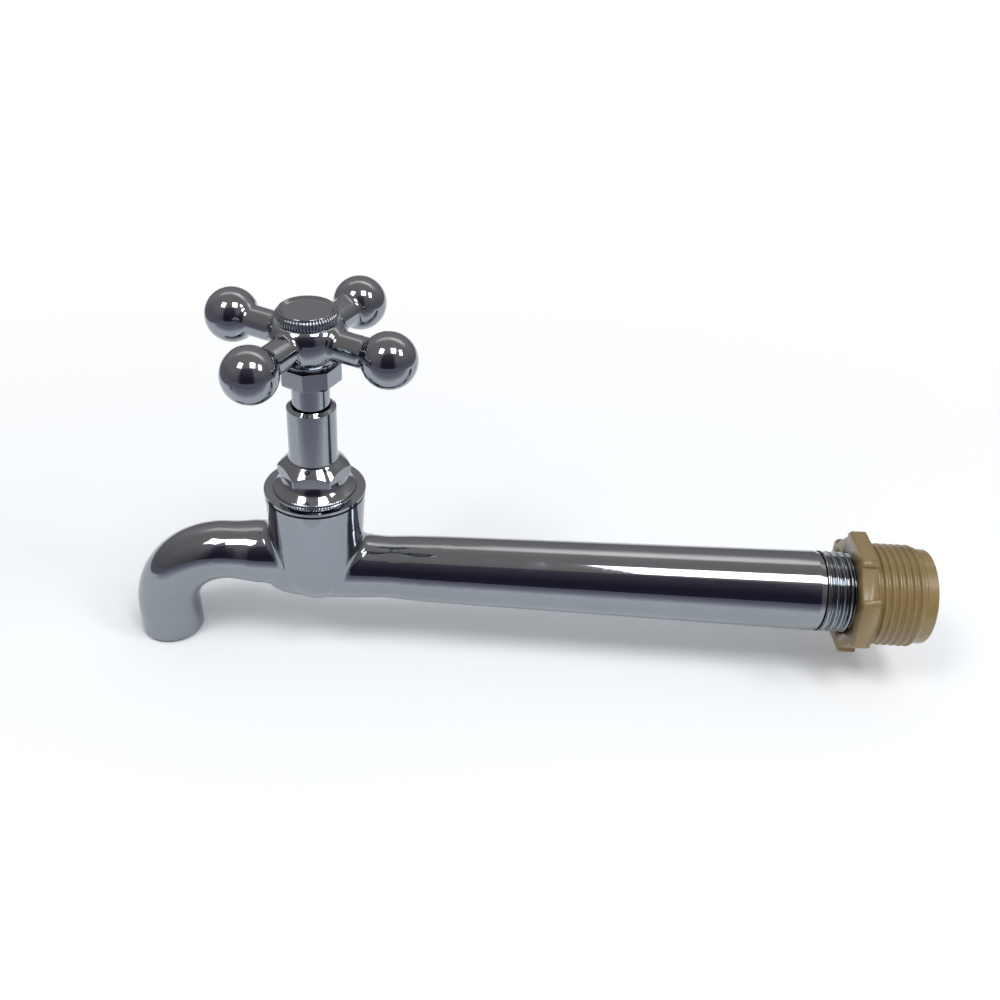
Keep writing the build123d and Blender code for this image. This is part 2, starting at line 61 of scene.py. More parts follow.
def math_node(tree, operation, *values):
    """One sum on numbers or sockets."""
    node = tree.nodes.new("ShaderNodeMath")
    node.operation = operation
    for value, socket in zip(values, node.inputs):
        put(tree, value, socket)
    return node.outputs[0]


def axes_of(tree, place):
    """X, Y and Z of a place, each as a socket."""
    split = tree.nodes.new("ShaderNodeSeparateXYZ")
    tree.links.new(place, split.inputs[0])
    return split.outputs


def object_place(tree, stretch=(1, 1, 1)):
    """Object coordinates, stretched along chosen axes."""
    place = tree.nodes.new("ShaderNodeTexCoord")
    mapping = tree.nodes.new("ShaderNodeMapping")
    mapping.inputs["Scale"].default_value = stretch
    tree.links.new(place.outputs["Object"], mapping.inputs["Vector"])
    return mapping.outputs["Vector"]


def noise(tree, place, scale, detail=3.0, rough=0.55):
    """Soft noise of a given number of cells per metre."""
    node = tree.nodes.new("ShaderNodeTexNoise")
    node.inputs["Scale"].default_value = scale
    node.inputs["Detail"].default_value = detail
    node.inputs["Roughness"].default_value = rough
    tree.links.new(place, node.inputs["Vector"])
    return node.outputs["Fac"]


def ramp(tree, value, stops):
    """Colour ramp from (place, colour) or (place, number) stops."""
    node = tree.nodes.new("ShaderNodeValToRGB")
    elements = node.color_ramp.elements
    while len(elements) < len(stops):
        elements.new(0.5)
    for element, (place, colour) in zip(elements, stops):
        element.position = place
        element.color = (*colour, 1) if isinstance(colour, tuple) else (colour, colour, colour, 1)
    tree.links.new(value, node.inputs["Fac"])
    return node.outputs["Color"]


def scaled(tree, value, low, high, start=0.0, end=1.0, curve="LINEAR"):
    """A value between start and end brought between low and high, and held there beyond them."""
    node = tree.nodes.new("ShaderNodeMapRange")
    node.interpolation_type = curve
    node.inputs["From Min"].default_value = start
    node.inputs["From Max"].default_value = end
    node.inputs["To Min"].default_value = low
    node.inputs["To Max"].default_value = high
    tree.links.new(value, node.inputs["Value"])
    return node.outputs["Result"]


def mixed(tree, kind, first, second, share=1.0):
    """Two colours mixed, multiplied or added."""
    node = tree.nodes.new("ShaderNodeMix")
    node.data_type = "RGBA"
    node.blend_type = kind
    put(tree, share, node.inputs["Factor"])
    tree.links.new(first, node.inputs["A"])
    if isinstance(second, tuple):
        node.inputs["B"].default_value = (*second, 1)
    else:
        tree.links.new(second, node.inputs["B"])
    return node.outputs["Result"]


def mixed_shaders(tree, share, first, second):
    """Mix of two shaders, with the second one's share."""
    node = tree.nodes.new("ShaderNodeMixShader")
    tree.links.new(share, node.inputs["Fac"])
    tree.links.new(first, node.inputs[1])
    tree.links.new(second, node.inputs[2])
    return node.outputs[0]


def bump(tree, height, distance, strength=1.0, before=None):
    """Normal of a fine relief, on top of another one if given."""
    node = tree.nodes.new("ShaderNodeBump")
    node.inputs["Distance"].default_value = distance
    node.inputs["Strength"].default_value = strength
    tree.links.new(height, node.inputs["Height"])
    if before is not None:
        tree.links.new(before, node.inputs["Normal"])
    return node.outputs["Normal"]


# Materials


def new_material(name):
    """Empty node material with its output and one principled shader."""
    material = bpy.data.materials.new(name)
    material.use_nodes = True
    tree = material.node_tree
    tree.nodes.clear()
    shader = tree.nodes.new("ShaderNodeBsdfPrincipled")
    output = tree.nodes.new("ShaderNodeOutputMaterial")
    tree.links.new(shader.outputs["BSDF"], output.inputs["Surface"])
    return material, tree, shader


def chrome(name, tone, buff):
    """Bright plating: faint ripple, buffing lines across one axis and a few dull smudges."""
    material, tree, shader = new_material(name)
    shader.inputs["Metallic"].default_value = 1.0
    place = object_place(tree)
    cloud = noise(tree, place, 45, 4.0)
    dark = tuple(0.93 * t for t in tone)
    tree.links.new(ramp(tree, cloud, ((0.35, dark), (0.65, tone))), shader.inputs["Base Color"])
    smudge = noise(tree, place, 120, 5.0, 0.65)
    tree.links.new(
        ramp(tree, smudge, ((0.0, 0.045), (0.55, 0.06), (0.68, 0.12), (0.8, 0.17))),
        shader.inputs["Roughness"],
    )
    ripple = bump(tree, noise(tree, place, 260, 1.0), 0.02 * MM, 0.35)
    lines = bump(tree, noise(tree, object_place(tree, buff), 60, 2.0), 0.006 * MM, 0.5, ripple)
    tree.links.new(lines, shader.inputs["Normal"])
    return material


def plastic(name, tone, deep):
    """Moulded beige plastic: cloudy colour, a soft gloss and fine grain."""
    material, tree, shader = new_material(name)
    place = object_place(tree)
    cloud = noise(tree, place, 110, 5.0, 0.6)
    tree.links.new(ramp(tree, cloud, ((0.3, deep), (0.62, tone))), shader.inputs["Base Color"])
    speck = noise(tree, place, 900, 2.0)
    tree.links.new(scaled(tree, speck, 0.28, 0.42), shader.inputs["Roughness"])
    shader.inputs["Coat Weight"].default_value = 0.35
    shader.inputs["Coat Roughness"].default_value = 0.14
    grain = bump(tree, noise(tree, place, 2600, 2.0), 0.03 * MM, 0.5)
    tree.links.new(bump(tree, cloud, 0.2 * MM, 0.4, grain), shader.inputs["Normal"])
    return material


def plain_metal(name, tone, stain, rough):
    """Turned or drawn metal with tool lines round it and a little tarnish."""
    material, tree, shader = new_material(name)
    shader.inputs["Metallic"].default_value = 1.0
    place = object_place(tree)
    cloud = noise(tree, place, 300, 5.0, 0.6)
    tree.links.new(ramp(tree, cloud, ((0.35, stain), (0.6, tone))), shader.inputs["Base Color"])
    tree.links.new(scaled(tree, cloud, rough + 0.1, rough), shader.inputs["Roughness"])
    lines = noise(tree, object_place(tree, (1, 1, 8)), 900, 2.0)
    tree.links.new(bump(tree, lines, 0.03 * MM, 0.5), shader.inputs["Normal"])
    return material


def rubber(name, tone):
    """Black rubber with a dusty bloom."""
    material, tree, shader = new_material(name)
    place = object_place(tree)
    cloud = noise(tree, place, 400, 5.0, 0.65)
    dust = tuple(2.2 * t for t in tone)
    tree.links.new(ramp(tree, cloud, ((0.4, tone), (0.75, dust))), shader.inputs["Base Color"])
    tree.links.new(scaled(tree, cloud, 0.5, 0.75), shader.inputs["Roughness"])
    tree.links.new(bump(tree, noise(tree, place, 3000, 2.0), 0.04 * MM, 0.6), shader.inputs["Normal"])
    return material


CHROME_TONE = (0.28, 0.305, 0.335)
MATERIALS = {
    "chrome_body": chrome("plated body", CHROME_TONE, (8, 0.4, 0.4)),
    "chrome_bonnet": chrome("plated bonnet", CHROME_TONE, (0.3, 0.3, 12)),
    "chrome_spindle": chrome("plated spindle", CHROME_TONE, (0.3, 0.3, 16)),
    "chrome_handle": chrome("plated handle", CHROME_TONE, (1, 1, 1)),
    "beige_plastic": plastic("beige plastic", (0.238, 0.163, 0.061), (0.2, 0.134, 0.05)),
    "seal_rubber": rubber("black rubber", (0.012, 0.012, 0.013)),
    "bare_brass": plain_metal("bare brass", (0.62, 0.43, 0.17), (0.4, 0.25, 0.09), 0.2),
    "screw_steel": plain_metal("zinc plated steel", (0.5, 0.51, 0.53), (0.36, 0.36, 0.36), 0.22),
}

slot_of = {part["node"]: part["material_slot"] for part in frame["record"]["subparts"]}
for node, piece in frame["nodes"].items():
    piece.data.materials.clear()
    piece.data.materials.append(MATERIALS[slot_of[node]])


# Mesh helpers


def node_tree(name, inputs, source=False):
    """Empty geometry tree with named inputs, and its group's input sockets."""
    tree = bpy.data.node_groups.new(name, "GeometryNodeTree")
    tree.is_modifier = True
    if source:
        tree.interface.new_socket("Geometry", in_out="INPUT", socket_type="NodeSocketGeometry")
    for label, kind in inputs.items():
        tree.interface.new_socket(label, in_out="INPUT", socket_type="NodeSocket" + kind)
    tree.interface.new_socket("Geometry", in_out="OUTPUT", socket_type="NodeSocketGeometry")
    return tree, tree.nodes.new("NodeGroupInput").outputs


def moved_to(tree, geometry, x, y, z):
    """Geometry with each point moved to a worked out place."""
    place = tree.nodes.new("ShaderNodeCombineXYZ")
    for value, socket in zip((x, y, z), place.inputs):
        put(tree, value, socket)
    moved = tree.nodes.new("GeometryNodeSetPosition")
    tree.links.new(geometry, moved.inputs["Geometry"])
    tree.links.new(place.outputs[0], moved.inputs["Position"])
    return moved.outputs[0]


def finish_tree(tree, geometry, material):
    """Realised geometry with its material as the tree's result."""
    real = tree.nodes.new("GeometryNodeRealizeInstances")
    tree.links.new(geometry, real.inputs[0])
    coat = tree.nodes.new("GeometryNodeSetMaterial")
    tree.links.new(real.outputs[0], coat.inputs["Geometry"])
    tree.links.new(material, coat.inputs["Material"])
    tree.links.new(coat.outputs[0], tree.nodes.new("NodeGroupOutput").inputs[0])


def from_nodes(name, tree, source=None, **inputs):
    """Plain mesh made by a node tree from a source mesh, if any, and these named inputs."""
    holder = bpy.data.objects.new("maker of " + name, source or bpy.data.meshes.new(name))
    bpy.context.scene.collection.objects.link(holder)
    modifier = holder.modifiers.new("shape", "NODES")
    modifier.node_group = tree
    for item in tree.interface.items_tree:
        key = item.name.lower().replace(" ", "_")
        if item.in_out == "INPUT" and key in inputs:
            modifier[item.identifier] = inputs[key]
    graph = bpy.context.evaluated_depsgraph_get()
    mesh = bpy.data.meshes.new_from_object(holder.evaluated_get(graph))
    bpy.data.objects.remove(holder)
    mesh.name = name
    return mesh


def merged_copy(node, keep=None):
    """A CAD node's merged mesh with its normals kept, without the faces that keep turns down."""
    source = frame["nodes"][node].data
    work = bmesh.new()
    work.from_mesh(source)
    layer = work.loops.layers.float_vector.new("kept_normal")
    work.faces.ensure_lookup_table()
    normals = source.corner_normals
    for face, polygon in zip(work.faces, source.polygons):
        for loop, corner in zip(face.loops, polygon.loop_indices):
            loop[layer] = normals[corner].vector
    bmesh.ops.remove_doubles(work, verts=work.verts, dist=HAIR)
    if keep:
        gone = [face for face in work.faces if not keep(face.calc_center_median())]
        bmesh.ops.delete(work, geom=gone, context="FACES")
    return work, layer


def add_mesh(work, layer, mesh, crease=180):
    """Adds a plain mesh to the edit mesh, smooth apart from edges over crease degrees."""
    before = len(work.faces)
    work.from_mesh(mesh)
    work.faces.ensure_lookup_table()
    new = work.faces[before:]
    bmesh.ops.recalc_face_normals(work, faces=new)
    work.normal_update()
    least = math.cos(math.radians(crease))
    for face in new:
        for loop in face.loops:
            together = Vector((0, 0, 0))
            for other in loop.vert.link_faces:
                if other.normal.dot(face.normal) >= least:
                    together += other.normal * other.calc_area()
            loop[layer] = together.normalized()


def piece_from(name, work, slot, body, stands_for):
    """Finished object from an edit mesh, riding on its body in place of a CAD node."""
    mesh = bpy.data.meshes.new(name)
    for face in work.faces:
        face.smooth = True
    work.to_mesh(mesh)
    values = [tuple(item.vector) for item in mesh.attributes["kept_normal"].data]
    work.free()
    mesh.attributes.remove(mesh.attributes["kept_normal"])
    mesh.normals_split_custom_set(values)
    mesh.materials.append(MATERIALS[slot])
    piece = bpy.data.objects.new(name, mesh)
    bpy.context.scene.collection.objects.link(piece)
    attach(piece, body)
    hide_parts(stands_for)


def from_stem(point):
    """Distance from the spindle's axis."""
    return math.hypot(point.x - STEM_X, point.y)


def from_shank(point):
    """Distance from the shank's axis."""
    return math.hypot(point.y, point.z)


# Threads on the shank and the bushing

PIPE_PITCH = 1.814 * MM
CREST_SHARE = 0.08


def thread_tree():
    """Turned surface round the X axis whose radius follows a screw thread, with a face at its end."""
    sizes = ("Start", "Length", "Radius", "Pitch", "Depth", "Fade", "End Radius", "Chamfer", "Face Width")
    kinds = dict.fromkeys(sizes, "Float")
    kinds.update({"Round Steps": "Int", "Long Steps": "Int", "Material": "Material"})
    tree, given = node_tree("screw thread", kinds)
    work_out = partial(math_node, tree)

    grid = tree.nodes.new("GeometryNodeMeshGrid")
    run = work_out("ADD", given["Length"], given["Face Width"])
    put(tree, run, grid.inputs["Size X"])
    put(tree, 1.0, grid.inputs["Size Y"])
    put(tree, given["Long Steps"], grid.inputs["Vertices X"])
    put(tree, given["Round Steps"], grid.inputs["Vertices Y"])
    flat = axes_of(tree, tree.nodes.new("GeometryNodeInputPosition").outputs[0])
    along = work_out("ADD", flat["X"], work_out("MULTIPLY", run, 0.5))
    turn = work_out("ADD", flat["Y"], 0.5)
    depth_along = work_out("MINIMUM", along, given["Length"])
    inward = work_out("SUBTRACT", along, depth_along)

    phase = work_out("SUBTRACT", work_out("DIVIDE", depth_along, given["Pitch"]), turn)
    wave = work_out("MULTIPLY", work_out("PINGPONG", phase, 0.5), 2.0)
    rounded = scaled(tree, wave, 0.0, 1.0, CREST_SHARE, 1 - CREST_SHARE, "SMOOTHSTEP")
    fade_in = work_out("MINIMUM", work_out("DIVIDE", depth_along, given["Fade"]), 1.0)
    groove = work_out("MULTIPLY", work_out("MULTIPLY", rounded, fade_in), given["Depth"])
    threaded = work_out("SUBTRACT", given["Radius"], groove)
    to_end = work_out("SUBTRACT", given["Length"], depth_along)
    slope = work_out("MULTIPLY", to_end, given["Chamfer"])
    chamfered = work_out("ADD", given["End Radius"], slope)
    radius = work_out("SUBTRACT", work_out("MINIMUM", threaded, chamfered), inward)

    angle = work_out("MULTIPLY", turn, 2 * math.pi)
    wrapped = moved_to(
        tree,
        grid.outputs["Mesh"],
        work_out("ADD", depth_along, given["Start"]),
        work_out("MULTIPLY", radius, work_out("COSINE", angle)),
        work_out("MULTIPLY", radius, work_out("SINE", angle)),
    )
    closed = tree.nodes.new("GeometryNodeMergeByDistance")
    closed.inputs["Distance"].default_value = 0.01 * MM
    tree.links.new(wrapped, closed.inputs["Geometry"])
    finish_tree(tree, closed.outputs[0], given["Material"])
    return tree


screw_thread = thread_tree()

SHANK_THREAD_START = -11.1 * MM
SHANK_BORE_WALL = 6.6 * MM


def body_casting():
    """Shank, valve chamber and spout, with the shank's thread."""

    def kept(centre):
        return centre.x < SHANK_THREAD_START or from_shank(centre) < SHANK_BORE_WALL

    work, layer = merged_copy("tap_body", kept)
    thread = from_nodes(
        "shank thread",
        screw_thread,
        start=SHANK_THREAD_START,
        length=20 * MM,
        radius=10.478 * MM,
        pitch=PIPE_PITCH,
        depth=1.0 * MM,
        fade=1.6 * MM,
        end_radius=9.5 * MM,
        chamfer=0.9,
        face_width=3.1 * MM,
        round_steps=145,
        long_steps=165,
        material=MATERIALS["chrome_body"],
    )
    add_mesh(work, layer, thread)
    piece_from("body_casting", work, "chrome_body", "tap", "tap_body")


BUSHING_THREAD_END = 13.1 * MM
BUSHING_LEAD_RADIUS = 12.3 * MM
TOUCH = 0.01 * MM


def bushing_moulding():
    """Beige reducing bushing with its outside thread."""

    def kept(centre):
        on_thread = TOUCH < centre.x < BUSHING_THREAD_END + TOUCH
        return not (on_thread and from_shank(centre) > BUSHING_LEAD_RADIUS + TOUCH)

    work, layer = merged_copy("inlet_bushing", kept)
    thread = from_nodes(
        "bushing thread",
        screw_thread,
        start=0.0,
        length=BUSHING_THREAD_END,
        radius=13.22 * MM,
        pitch=PIPE_PITCH,
        depth=0.68 * MM,
        fade=0.8 * MM,
        end_radius=BUSHING_LEAD_RADIUS,
        chamfer=0.8,
        face_width=0.05 * MM,
        round_steps=145,
        long_steps=110,
        material=MATERIALS["beige_plastic"],
    )
    add_mesh(work, layer, thread)
    piece_from("bushing_moulding", work, "beige_plastic", "tap", "inlet_bushing")


# Turned shapes with ribbed rims, for the cap and the headwork

TURNED_STEPS = 720
RIB_SHARPNESS = 0.7


def turned_mesh(name, profile, start_angle=0.0):
    """Surface round the spindle's axis from (radius, height) points.

    Each of the two is a number or a function of the angle.
    """
    work = bmesh.new()
    rings = []
    for radius, height in profile:
        ring = []
        for step in range(TURNED_STEPS):
            angle = start_angle + 2 * math.pi * step / TURNED_STEPS
            reach = radius(angle) if callable(radius) else radius
            level = height(angle) if callable(height) else height
            ring.append(work.verts.new((STEM_X + reach * math.cos(angle), reach * math.sin(angle), level)))
        rings.append(ring)
    for lower, upper in zip(rings, rings[1:]):
        for step in range(TURNED_STEPS):
            following = (step + 1) % TURNED_STEPS
            work.faces.new((lower[step], lower[following], upper[following], upper[step]))
    bmesh.ops.remove_doubles(work, verts=work.verts, dist=HAIR)
    mesh = bpy.data.meshes.new(name)
    work.to_mesh(mesh)
    work.free()
    return mesh


def rib_tree():
    """Upright grooves cut in at equal turns between two heights of a turned shape."""
    sizes = ("Centre X", "Ribs", "Depth", "Lowest", "Highest", "Fade", "Inner Radius")
    kinds = dict.fromkeys(sizes, "Float")
    kinds["Material"] = "Material"
    tree, given = node_tree("ribbed rim", kinds, source=True)
    work_out = partial(math_node, tree)

    place = axes_of(tree, tree.nodes.new("GeometryNodeInputPosition").outputs[0])
    x = work_out("SUBTRACT", place["X"], given["Centre X"])
    y, z = place["Y"], place["Z"]
    squares = work_out("ADD", work_out("MULTIPLY", x, x), work_out("MULTIPLY", y, y))
    radius = work_out("SQRT", squares)

    turns = work_out("MULTIPLY", work_out("ARCTAN2", y, x), given["Ribs"])
    swing = work_out("ABSOLUTE", work_out("SINE", work_out("MULTIPLY", turns, 0.5)))
    groove = work_out("SUBTRACT", 1.0, work_out("POWER", swing, RIB_SHARPNESS))
    above = work_out("SUBTRACT", z, given["Lowest"])
    below = work_out("SUBTRACT", given["Highest"], z)
    low = work_out("MINIMUM", work_out("DIVIDE", above, given["Fade"]), 1.0)
    high = work_out("MINIMUM", work_out("DIVIDE", below, given["Fade"]), 1.0)
    in_band = work_out("MAXIMUM", work_out("MINIMUM", low, high), 0.0)
    share = work_out("MULTIPLY", in_band, work_out("GREATER_THAN", radius, given["Inner Radius"]))
    cut = work_out("MULTIPLY", work_out("MULTIPLY", groove, share), given["Depth"])

    least_radius = work_out("MAXIMUM", radius, 0.01 * MM)
    factor = work_out("DIVIDE", work_out("SUBTRACT", radius, cut), least_radius)
    ribbed = moved_to(
        tree,
        given["Geometry"],
        work_out("ADD", work_out("MULTIPLY", x, factor), given["Centre X"]),
        work_out("MULTIPLY", y, factor),
        z,
    )
    finish_tree(tree, ribbed, given["Material"])
    return tree


ribbed_rim = rib_tree()

# Knurled cap

CAP_HEIGHT = 2.65 * MM
# Radius and drop under the top in millimetres: side, bevel, rounded rim, slope and dished top
CAP_OUTLINE = (
    (7.4, 2.65),
    (7.5, 2.55),
    (7.5, 2.2),
    (7.5, 1.7),
    (7.5, 1.3),
    (7.47, 1.12),
    (7.4, 0.98),
    (7.26, 0.82),
    (7.1, 0.64),
    (6.94, 0.46),
    (6.8, 0.28),
    (6.74, 0.18),
    (6.68, 0.08),
    (6.6, 0.02),
    (6.5, 0.0),
    (6.42, 0.03),
    (6.34, 0.1),
    (5.72, 0.6),
    (5.6, 0.66),
    (5.44, 0.7),
    (2.8, 0.7),
    (0.0, 0.7),
)
cap_corners = [vertex.co for vertex in frame["nodes"]["index_cap"].data.vertices]
cap_top = max(corner.z for corner in cap_corners)
cap_bottom = cap_top - CAP_HEIGHT


def knurled_cap():
    """Cap with 60 ribs over its side and bevel, on the CAD cap's plug."""
    plug_radius = max(from_stem(corner) for corner in cap_corners if corner.z < cap_bottom - 0.1 * MM)
    profile = [(plug_radius, cap_bottom)]
    for radius, drop in CAP_OUTLINE:
        profile.append((radius * MM, cap_top - drop * MM))
    rim = from_nodes(
        "cap rim",
        ribbed_rim,
        source=turned_mesh("turned cap", profile),
        centre_x=STEM_X,
        ribs=60.0,
        depth=0.3 * MM,
        lowest=cap_bottom + 0.02 * MM,
        highest=cap_top - 0.2 * MM,
        fade=0.25 * MM,
        inner_radius=6.72 * MM,
        material=MATERIALS["chrome_handle"],
    )
    work, layer = merged_copy("index_cap", lambda centre: centre.z < cap_bottom - HAIR)
    add_mesh(work, layer, rim)
    piece_from("knurled_cap", work, "chrome_handle", "spindle", "index_cap")


# Handle casting with its hub rounded in under the cap

HUB_ROUND_HEIGHT = 2.6 * MM
HUB_ROUND_DEPTH = 0.6 * MM
HUB_RADIUS = 9.3 * MM
HUB_ROUND_LIMIT = 1.1
HUB_ROUND_POWER = 3
CAP_SEAT = (6.2 * MM, 7.0 * MM)
ARM_ROOT_END = 12.5 * MM
SKIRT_TOP = cap_bottom - 10.75 * MM
SKIRT_EDGE = 0.5 * MM
SKIRT_SIDE = 3.5 * MM
SKIRT_INSIDE = 6.5 * MM
EDGE_FLATNESS = 0.35


def smooth_share(value, low, high):
    """0 below low, 1 above high, smooth between."""
    share = min(max((value - low) / (high - low), 0), 1)
    return share * share * (3 - 2 * share)


def rounded_in(point):
    """New place of a point of the handle: hub's shoulder rounded in, skirt's top chamfer flattened."""
    radius = from_stem(point)
    below = SKIRT_TOP - point.z
    if 0 < below < SKIRT_SIDE and radius > SKIRT_INSIDE:
        flat_edge = EDGE_FLATNESS * SKIRT_EDGE
        if below < SKIRT_EDGE:
            lowered = EDGE_FLATNESS * below
        else:
            stretch = (SKIRT_SIDE - flat_edge) / (SKIRT_SIDE - SKIRT_EDGE)
            lowered = flat_edge + (below - SKIRT_EDGE) * stretch
        return Vector((point.x, point.y, SKIRT_TOP - lowered))
    rise = min(max((point.z - cap_bottom) / HUB_ROUND_HEIGHT + 1, 0), HUB_ROUND_LIMIT)
    share = smooth_share(radius, *CAP_SEAT) * (1 - smooth_share(radius, HUB_RADIUS, ARM_ROOT_END))
    if rise == 0 or share == 0:
        return point.copy()
    out = Vector((point.x - STEM_X, point.y, 0)).normalized()
    return point - out * (HUB_ROUND_DEPTH * rise**HUB_ROUND_POWER * share)


def turned_normal(point, normal):
    """Normal after the same rounding."""
    step = 0.01 * MM
    columns = []
    for axis in (Vector((1, 0, 0)), Vector((0, 1, 0)), Vector((0, 0, 1))):
        columns.append((rounded_in(point + axis * step) - rounded_in(point - axis * step)) / (2 * step))
    return (Matrix(columns).inverted() @ normal).normalized()


def near_shoulder(vertex):
    """Whether a corner lies where the hub is rounded in."""
    lowest = cap_bottom - HUB_ROUND_HEIGHT - 0.4 * MM
    return vertex.co.z > lowest and from_stem(vertex.co) < ARM_ROOT_END + 0.1 * MM


def on_skirt_edge(point):
    """Whether a point lies on the chamfer at the skirt's top."""
    return 0 < SKIRT_TOP - point.z < SKIRT_EDGE and from_stem(point) > SKIRT_INSIDE


def handle_casting():
    """Hub, skirt, arms and balls from the CAD handle."""
    work, layer = merged_copy("handle_cross")
    shoulder = [edge for edge in work.edges if all(near_shoulder(end) for end in edge.verts)]
    bmesh.ops.subdivide_edges(work, edges=shoulder, cuts=2, use_grid_fill=True)
    for face in work.faces:
        middle = face.calc_center_median()
        for loop in face.loops:
            if near_shoulder(loop.vert):
                loop[layer] = turned_normal(loop.vert.co, loop[layer].normalized())
            elif on_skirt_edge(middle):
                loop[layer] = turned_normal(middle, loop[layer].normalized())
    for vertex in work.verts:
        vertex.co = rounded_in(vertex.co)
    piece_from("handle_casting", work, "chrome_handle", "spindle", "handle_cross")


# Headwork: ribbed ring, coned shoulder, hexagon with a coned top, and the neck with a bevelled mouth

HEX_HALF = 8.0 * MM
HEX_TOP_RISE = 7.35 * MM
HEX_EASE = 0.12 * MM
CONE_SLOPE = 0.88
MOUTH_RADIUS = 5.15 * MM
# Radius and rise over the flange in millimetres: ribbed ring, then the shoulder up to the hexagon
SHOULDER_OUTLINE = (
    (10.9, 0.0),
    (10.62, 0.06),
    (10.48, 0.22),
    (10.42, 0.45),
    (10.36, 0.66),
    (10.22, 0.82),
    (10.02, 0.94),
    (9.8, 1.1),
    (9.3, 1.5),
    (8.75, 1.96),
    (8.4, 2.28),
    (8.2, 2.52),
    (8.05, 2.8),
    (7.85, 3.4),
    (7.6, 4.3),
)
# The same for the cone over the hexagon, the neck and its mouth
NECK_OUTLINE = (
    (7.4, 7.88),
    (6.9, 8.31),
    (6.5, 8.66),
    (6.26, 8.89),
    (6.12, 9.12),
    (6.05, 9.4),
    (6.05, 23.12),
    (6.02, 23.2),
    (5.95, 23.27),
    (5.35, 23.71),
    (5.27, 23.8),
    (5.15, 23.9),
)
bonnet_corners = [vertex.co for vertex in frame["nodes"]["bonnet"].data.vertices]
flange_top = max(corner.z for corner in bonnet_corners) - NECK_OUTLINE[-1][1] * MM
hex_bottom = flange_top + SHOULDER_OUTLINE[-1][1] * MM
at_hex = [corner for corner in bonnet_corners if abs(corner.z - hex_bottom) < 0.05 * MM]
hex_corner = max(at_hex, key=from_stem)
corner_angle = math.atan2(hex_corner.y, hex_corner.x - STEM_X)


def hex_radius(angle, inset=0.0):
    """Distance from the axis to the hexagon's side, with its corners eased a little."""
    turn = (angle - corner_angle) % (math.pi / 3) - math.pi / 6
    side = (HEX_HALF - inset) / math.cos(turn)
    corner = HEX_HALF / math.cos(math.pi / 6) - HEX_EASE - inset
    return min(side, corner)


def cone_height(angle, raised=0.0):
    """Height of the hexagon's top edge, which a cone cuts."""
    return flange_top + HEX_TOP_RISE - (hex_radius(angle) - HEX_HALF) * CONE_SLOPE + raised


def headwork():
    """Headwork with eased edges over the CAD bonnet's flange and bore."""
    profile = [(radius * MM, flange_top + rise * MM) for radius, rise in SHOULDER_OUTLINE]
    profile += [
        (partial(hex_radius, inset=0.15 * MM), hex_bottom),
        (hex_radius, hex_bottom + 0.15 * MM),
        (hex_radius, partial(cone_height, raised=-0.16 * MM)),
        (lambda angle: hex_radius(angle) - 0.05 * MM, partial(cone_height, raised=-0.03 * MM)),
        (lambda angle: hex_radius(angle) - 0.2 * MM, partial(cone_height, raised=0.1 * MM)),
    ]
    profile += [(radius * MM, flange_top + rise * MM) for radius, rise in NECK_OUTLINE]
    shape = from_nodes(
        "headwork shape",
        ribbed_rim,
        source=turned_mesh("turned headwork", profile, corner_angle),
        centre_x=STEM_X,
        ribs=96.0,
        depth=0.06 * MM,
        lowest=flange_top + 0.05 * MM,
        highest=flange_top + 0.95 * MM,
        fade=0.2 * MM,
        inner_radius=9.9 * MM,
        material=MATERIALS["chrome_bonnet"],
    )

    def kept(centre):
        return centre.z < flange_top + TOUCH or from_stem(centre) < MOUTH_RADIUS - HAIR

    work, layer = merged_copy("bonnet", kept)
    add_mesh(work, layer, shape, crease=22)
    piece_from("headwork", work, "chrome_bonnet", "tap", "bonnet")


body_casting()
bushing_moulding()
knurled_cap()
handle_casting()
headwork()


# Camera at the photograph's angle


def camera_at(place, yaw, pitch, roll, focal, centre_x, centre_y):
    """Camera from its place, angles in degrees and the optical centre in a 1000 pixel picture."""
    a, e, r = map(math.radians, (yaw, pitch, roll))
    back = Vector((math.sin(a) * math.cos(e), -math.cos(a) * math.cos(e), math.sin(e)))
    level = Vector((math.cos(a), math.sin(a), 0))
    upright = back.cross(level)
    right = level * math.cos(r) + upright * math.sin(r)
    up = upright * math.cos(r) - level * math.sin(r)
    data = bpy.data.cameras.new("camera")
    data.sensor_width = 36
    data.lens = focal * data.sensor_width / 1000
    data.shift_x = (500 - centre_x) / 1000
    data.shift_y = (centre_y - 500) / 1000
    data.clip_start = 0.01
    camera = bpy.data.objects.new("camera", data)
    camera.matrix_world = Matrix((
        (right.x, up.x, back.x, place[0]),
        (right.y, up.y, back.y, place[1]),
        (right.z, up.z, back.z, place[2]),
        (0, 0, 0, 1),
    ))
    bpy.context.scene.collection.objects.link(camera)
    bpy.context.scene.camera = camera


camera_at(
    place=(-0.10155, -0.22767, 0.18166),
    yaw=1.85,
    pitch=34.68,
    roll=2.06,
    focal=1100.68,
    centre_x=445.86,
    centre_y=494.59,
)


# Studio: floor, grey cards and a room that only the metal reflects, and soft lamps

FLOOR_LEVEL = -0.0245
FLOOR_SIZE = 6.0
MIDDLE = Vector((-0.09, 0, 0.03))
ROOM_SIZE = 2.0


def flat_mesh(name, corners, faces=None):
    """Mesh of flat faces, one over all corners if none are given."""
    mesh = bpy.data.meshes.new(name)
    mesh.from_pydata(corners, [], faces or [tuple(range(len(corners)))])
    return mesh


